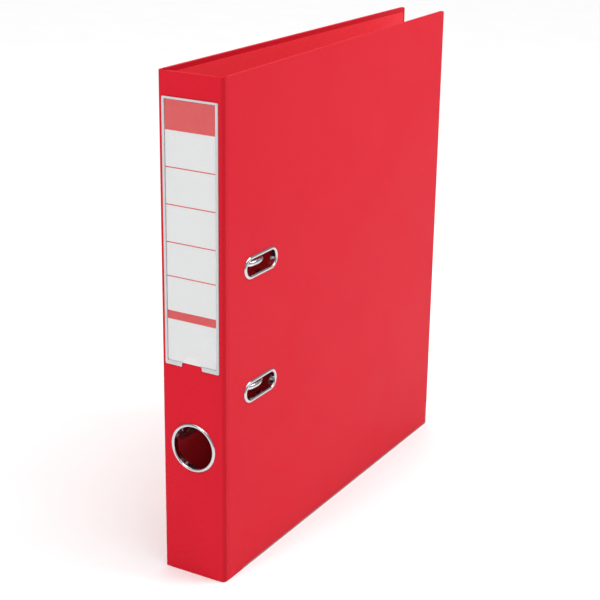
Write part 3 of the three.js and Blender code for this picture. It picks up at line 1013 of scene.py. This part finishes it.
class LEVERFILE_OT_edge_strips(Operator):
    """Metal strips along the covers' lower edges, turned up at the fore edge"""

    bl_idname = "lever_file.edge_strips"
    bl_label = "Metal edge strips"

    def execute(self, context):
        rounding = context.scene.file_sizes.metal_rounding / 2
        for side in ("front", "back"):
            node = f"{side}_edge_strip"
            piece = reworked(node, f"{side}_metal_edge", rounding, segments=3)
            fit_out(piece, strip_look(context), f"{side}_cover", "steel", node)
        return {"FINISHED"}


def rolled_rim(bore, end):
    """Section of an eyelet: (distance from the middle, place through the board), closed."""
    curl = (
        (0.1, end),
        (0, end - 0.15),
        (0, -0.1),
        (0.04, -0.36),
        (0.17, -0.62),
        (0.38, -0.83),
        (0.68, -0.96),
        (1.0, -1.0),
        (1.35, -0.97),
        (1.68, -0.84),
        (1.94, -0.62),
        (2.12, -0.36),
        (RIM_OUT, -0.1),
        (SLEEVE_T, -0.1),
        (SLEEVE_T, end),
    )
    return [(bore + out, place) for out, place in curl]


def flat_ring(inner, outer, floor, top):
    """Section of a washer."""
    return [(inner, floor), (outer, floor), (outer, top), (inner, top)]


class LEVERFILE_OT_slot_eyelets(Operator):
    """Pressed metal eyelets round the two slots in the front cover, with their washers"""

    bl_idname = "lever_file.slot_eyelets"
    bl_label = "Slot eyelets"

    def execute(self, context):
        section = rolled_rim(SLOT_ENDS, SLEEVE_END)
        sleeve = SLOT_ENDS + SLEEVE_T
        washer = flat_ring(sleeve + 0.1, sleeve + 1.9, WASHER_IN, SLEEVE_END)
        for place in ("lower", "upper"):
            low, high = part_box(f"slot_eyelet_{place}")
            centre = Vector(((low[0] + high[0]) / 2, CORNER.y, (low[2] + high[2]) / 2))
            piece = slot_sweep(f"slot_rim_{place}", section, centre)
            soften(piece, 0)
            fit_out(
                piece, nickel_look(context), "front_cover", "chrome", f"slot_eyelet_{place}"
            )
            piece = slot_sweep(f"slot_back_ring_{place}", washer, centre)
            soften(piece, 0.15 * MM)
            fit_out(piece, steel_look(context), "front_cover", "steel", f"slot_washer_{place}")
        return {"FINISHED"}


class LEVERFILE_OT_finger_ring(Operator):
    """Metal finger ring in the spine, with its washer"""

    bl_idname = "lever_file.finger_ring"
    bl_label = "Finger ring"

    def execute(self, context):
        low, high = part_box("finger_ring")
        centre = (CORNER.x, (low[1] + high[1]) / 2, (low[2] + high[2]) / 2)
        bore = (high[1] - low[1]) / 2 / MM - RIM_OUT
        section = rolled_rim(bore, (high[0] - CORNER.x) / MM)
        piece = turned("finger_ring_rim", section + section[:1], centre, (1, 0, 0))
        soften(piece, 0)
        fit_out(piece, nickel_look(context), "spine", "chrome", "finger_ring")
        low, high = box_mm("finger_ring_washer")
        section = flat_ring(bore + SLEEVE_T + 0.1, (high.y - low.y) / 2, low.x, high.x)
        piece = turned("finger_ring_back", section + section[:1], centre, (1, 0, 0))
        soften(piece, 0.15 * MM)
        fit_out(piece, steel_look(context), "spine", "steel", "finger_ring_washer")
        return {"FINISHED"}


class LEVERFILE_OT_label(Operator):
    """Clear pocket welded to the spine, and the printed card in it"""

    bl_idname = "lever_file.label"
    bl_label = "Label pocket and card"

    def execute(self, context):
        piece = reworked("label_card", "printed_card", 0.08 * MM)
        fit_out(piece, card_look(context), "label_card", "card", "label_card")
        piece = reworked("label_pocket", "pocket_film", 0.07 * MM)
        fit_out(piece, pocket_look(context), "spine", "clear_film", "label_pocket")
        return {"FINISHED"}


class LEVERFILE_OT_base_plate(Operator):
    """Pressed base plate of the mechanism and the rivets that hold it"""

    bl_idname = "lever_file.base_plate"
    bl_label = "Base plate and rivets"

    def execute(self, context):
        rounding = context.scene.file_sizes.metal_rounding
        piece = reworked("mechanism_base_plate", "base_plate_pressed", rounding, segments=3)
        fit_out(piece, zinc_look(context), "back_cover", "zinc", "mechanism_base_plate")
        inner = dome(RIVET_HEAD_R, BASE_TOP + 0.1, RIVET_HEAD_RISE)
        shank = [(RIVET_SHANK_R, -BASE_TOP - 0.1), (RIVET_SHANK_R, 0.1)]
        outer = dome(RIVET_HEAD_R, 0.1, RIVET_HEAD_RISE)
        profile = [(out, -up) for out, up in reversed(inner)] + shank + outer
        for number, (x, z) in enumerate(RIVETS, 1):
            centre = Vector((x, 0, z)) * MM
            piece = turned(f"rivet_domed_{number}", profile, centre, (0, 1, 0), steps=48)
            soften(piece, 0)
            lean_back(piece)
            fit_out(piece, steel_look(context), "back_cover", "steel", f"rivet_{number}")
        return {"FINISHED"}


class LEVERFILE_OT_posts(Operator):
    """Posts that the arches close on"""

    bl_idname = "lever_file.posts"
    bl_label = "Posts"

    def execute(self, context):
        top = POST_TOP
        profile = [
            (0, top),
            (0.55, top - 0.04),
            (1.0, top - 0.22),
            (1.34, top - 0.6),
            (1.5, top - 1.1),
            (1.5, top - 2.5),
            (2.4, top - 3.5),
            (2.4, BASE_TOP + 1.7),
            (2.55, BASE_TOP + 1.45),
            (3.3, BASE_TOP + 1.4),
            (3.6, BASE_TOP + 1.1),
            (3.6, BASE_TOP + 0.3),
            (0, BASE_TOP + 0.3),
        ]
        for place, z in POSTS:
            centre = Vector((POST_X, 0, z)) * MM
            piece = turned(f"post_turned_{place}", profile, centre, (0, -1, 0), steps=48)
            soften(piece, 0)
            lean_back(piece)
            fit_out(piece, nickel_look(context), "back_cover", "chrome", f"post_{place}")
        return {"FINISHED"}


def arch_wire(name, z):
    """Round wire led up a leg, over a half circle and down to a chamfered tip."""
    clear_selection()
    bpy.ops.mesh.primitive_circle_add(
        vertices=28,
        radius=WIRE_R * MM,
        location=Vector((LEG_X, -FOOT_LIFT, z)) * MM,
        rotation=(math.pi / 2, 0, 0),
    )
    piece = named(bpy.context.object, name)
    bpy.ops.object.transform_apply(location=True, rotation=True, scale=True)
    bpy.ops.object.mode_set(mode="EDIT")
    bpy.ops.mesh.select_all(action="SELECT")
    draw_out(Vector((0, FOOT_LIFT - ARCH_LIFT, 0)) * MM)
    swing(180, Vector((ARCH_X, -ARCH_LIFT, z)) * MM, (0, 0, 1), 56)
    draw_out(Vector((0, 1.1, 0)) * MM)
    draw_out(Vector((0, 0.4, 0)) * MM)
    tip = Vector((POST_X, 1.5 - ARCH_LIFT, z)) * MM
    bpy.ops.transform.resize(value=(0.82, 1, 0.82), center_override=tip)
    close_up()
    soften(piece, 0)
    return lean_back(piece)


class LEVERFILE_OT_arches(Operator):
    """The two arches and the crossbar that joins them"""

    bl_idname = "lever_file.arches"
    bl_label = "Arches and crossbar"

    def execute(self, context):
        for place, z in POSTS:
            piece = arch_wire(f"arch_wire_{place}", z)
            fit_out(piece, nickel_look(context), "arches", "chrome", f"arch_{place}")
        rounding = context.scene.file_sizes.metal_rounding
        piece = reworked("crossbar", "crossbar_shaft", rounding)
        fit_out(piece, steel_look(context), "arches", "steel", "crossbar")
        return {"FINISHED"}


class LEVERFILE_OT_lever(Operator):
    """Lever with its finger loop, its pin and its roller"""

    bl_idname = "lever_file.lever"
    bl_label = "Lever and roller"

    def execute(self, context):
        rounding = context.scene.file_sizes.metal_rounding
        piece = reworked("lever", "lever_pressed", rounding, segments=3)
        fit_out(piece, nickel_look(context), "lever", "chrome", "lever")
        for node, name, body, look, slot in (
            ("lever_pin", "lever_pin_headed", "back_cover", steel_look, "steel"),
            ("roller_pin", "roller_pin_turned", "lever", steel_look, "steel"),
            ("lever_roller", "roller_turned", "roller", zinc_look, "zinc"),
        ):
            piece = reworked(node, name, rounding)
            fit_out(piece, look(context), body, slot, node)
        return {"FINISHED"}


class LEVERFILE_OT_compressor(Operator):
    """Compressor bar and the plastic glides that grip the posts"""

    bl_idname = "lever_file.compressor"
    bl_label = "Compressor bar and glides"

    def execute(self, context):
        rounding = context.scene.file_sizes.metal_rounding
        piece = reworked("compressor_bar", "compressor_flat_bar", rounding, segments=3)
        fit_out(piece, steel_look(context), "compressor", "steel", "compressor_bar")
        floor = BAR_LIFT + BAR_T
        profile = [
            (2.9, floor),
            (4.3, floor),
            (4.6, floor + 0.3),
            (4.6, floor + 0.9),
            (4.25, floor + 1.2),
            (4.25, floor + 1.8),
            (4.6, floor + 2.1),
            (4.6, floor + 3.0),
            (4.2, floor + 3.4),
            (3.3, floor + 3.4),
            (2.9, floor + 3.0),
            (2.9, floor),
        ]
        for place, z in POSTS:
            centre = Vector((POST_X, 0, z)) * MM
            piece = turned(f"glide_moulded_{place}", profile, centre, (0, -1, 0), steps=48)
            soften(piece, 0)
            lean_back(piece)
            fit_out(
                piece, glide_look(context), "compressor", "glide", f"compressor_glide_{place}"
            )
        return {"FINISHED"}


def aim(thing, target, roll=0.0):
    """Turns a camera or light to look at a place."""
    turn = (Vector(target) - thing.location).to_track_quat("-Z", "Y").to_matrix().to_4x4()
    thing.rotation_euler = (turn @ Matrix.Rotation(math.radians(roll), 4, "Z")).to_euler()


class LEVERFILE_OT_stage(Operator):
    """Pale floor, soft studio light and the camera"""

    bl_idname = "lever_file.stage"
    bl_label = "Stage"

    def execute(self, context):
        stage = context.scene.file_stage
        clear_selection()
        bpy.ops.mesh.primitive_circle_add(vertices=96, radius=14, fill_type="NGON")
        floor = named(bpy.context.object, "studio_floor")
        floor.data.materials.append(floor_look(context))
        for name, place, target, size, power in (
            ("Key light", (0.35, -0.75, 0.95), (0.04, 0, 0.26), (0.5, 0.4), stage.key),
            ("Fill light", (-1.3, 0.1, 0.9), (-0.14, 0, 0.2), (0.35, 0.6), stage.fill),
        ):
            bpy.ops.object.light_add(type="AREA", location=place)
            light = bpy.context.object
            light.name = name
            light.data.shape = "RECTANGLE"
            light.data.size, light.data.size_y = size
            light.data.energy = power
            aim(light, target)
        bpy.ops.object.light_add(type="SUN", location=(0.1, -0.25, 2.6))
        overhead = bpy.context.object
        overhead.name = "Overhead light"
        overhead.data.energy = stage.sun
        overhead.data.angle = math.radians(70)
        aim(overhead, (0, 0, 0))
        world = bpy.data.worlds.new("Soft surroundings")
        context.scene.world = world
        world.use_nodes = True
        tree = world.node_tree
        surroundings = tree.nodes["Background"]
        surroundings.inputs["Color"].default_value = (1, 1, 1, 1)
        surroundings.inputs["Strength"].default_value = stage.sky
        # The backdrop is white where the camera looks at it, and lights the file less strongly.
        backdrop = wire(tree, "ShaderNodeBackground", {"Color": (1, 1, 1, 1), "Strength": 1.0})
        seen = wire(tree, "ShaderNodeLightPath", {}).outputs["Is Camera Ray"]
        both = wire(
            tree,
            "ShaderNodeMixShader",
            {0: seen, 1: surroundings.outputs[0], 2: backdrop.outputs[0]},
        )
        tree.links.new(both.outputs[0], tree.nodes["World Output"].inputs["Surface"])
        bpy.ops.object.camera_add(location=CAMERA_PLACE)
        camera = bpy.context.object
        camera.name = "Camera"
        camera.data.lens = CAMERA_LENS
        camera.data.sensor_width = 36
        aim(camera, CAMERA_TARGET, roll=CAMERA_ROLL)
        context.scene.camera = camera
        context.scene.view_settings.view_transform = "Standard"
        return {"FINISHED"}


OPERATORS = (
    LEVERFILE_OT_stage,
    LEVERFILE_OT_covers,
    LEVERFILE_OT_linings,
    LEVERFILE_OT_folds,
    LEVERFILE_OT_edge_strips,
    LEVERFILE_OT_slot_eyelets,
    LEVERFILE_OT_finger_ring,
    LEVERFILE_OT_label,
    LEVERFILE_OT_base_plate,
    LEVERFILE_OT_posts,
    LEVERFILE_OT_arches,
    LEVERFILE_OT_lever,
    LEVERFILE_OT_compressor,
)


class LEVERFILE_PT_panel(Panel):
    """Lists the file's pieces and its settings"""

    bl_idname = "LEVERFILE_PT_panel"
    bl_label = "Lever arch file"
    bl_space_type = "VIEW_3D"
    bl_region_type = "UI"
    bl_category = "Lever arch file"

    def draw(self, context):
        for operator in OPERATORS:
            self.layout.operator(operator.bl_idname)
        for group in (
            context.scene.file_sizes,
            context.scene.file_colours,
            context.scene.file_stage,
        ):
            for name in group.__annotations__:
                self.layout.prop(group, name)


CLASSES = (FileSizes, FileColours, StageSettings, *OPERATORS, LEVERFILE_PT_panel)


def register():
    for item in CLASSES:
        bpy.utils.register_class(item)
    bpy.types.Scene.file_sizes = PointerProperty(type=FileSizes)
    bpy.types.Scene.file_colours = PointerProperty(type=FileColours)
    bpy.types.Scene.file_stage = PointerProperty(type=StageSettings)


def unregister():
    for name in ("file_sizes", "file_colours", "file_stage"):
        delattr(bpy.types.Scene, name)
    for item in reversed(CLASSES):
        bpy.utils.unregister_class(item)


def main():
    register()
    for operator in OPERATORS:
        family, name = operator.bl_idname.split(".")
        getattr(getattr(bpy.ops, family), name)()
    clear_selection()


if __name__ == "__main__":
    main()
